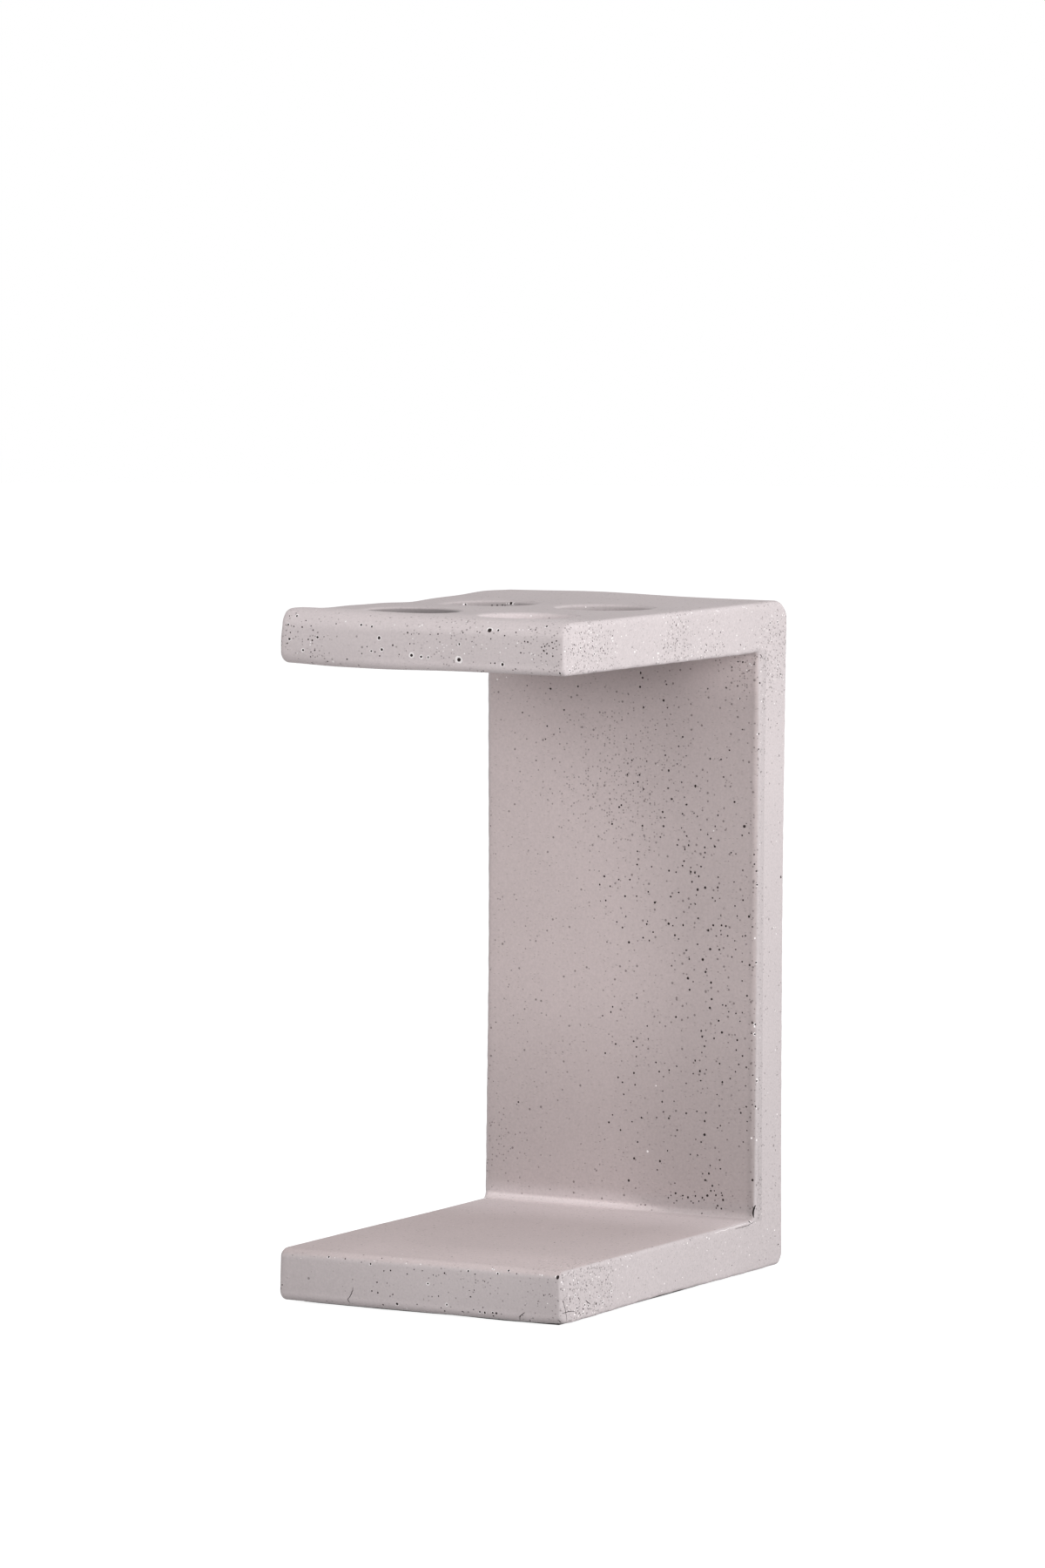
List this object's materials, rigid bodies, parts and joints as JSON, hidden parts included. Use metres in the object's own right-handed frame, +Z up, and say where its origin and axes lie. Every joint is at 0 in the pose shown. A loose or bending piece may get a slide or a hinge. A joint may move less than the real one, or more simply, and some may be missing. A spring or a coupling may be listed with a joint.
{
  "type": "toothbrush holder",
  "caption": "C-shaped concrete toothbrush holder: a base, a back wall and a shelf with round holes, open at the front and sides, on thin stick-on pads.",
  "frame": {"origin": "centre of the base's footprint, at the surface that the pads stand on", "axes": "+Z up, -Y towards the open front, +Y towards the back wall, +X towards the sanded side, on the viewer's right when facing the front"},
  "size_m": [0.06, 0.09, 0.1306],
  "materials": {
    "concrete": "matt fine concrete with air pits, softly polished mould faces and one sanded side",
    "pad": "matt translucent grey silicone"
  },
  "bodies": {
    "root": {"cast_body": "concrete", "foot_pad_front_left": "pad", "foot_pad_front_right": "pad", "foot_pad_back_left": "pad", "foot_pad_back_right": "pad"}
  },
  "joints": []
}
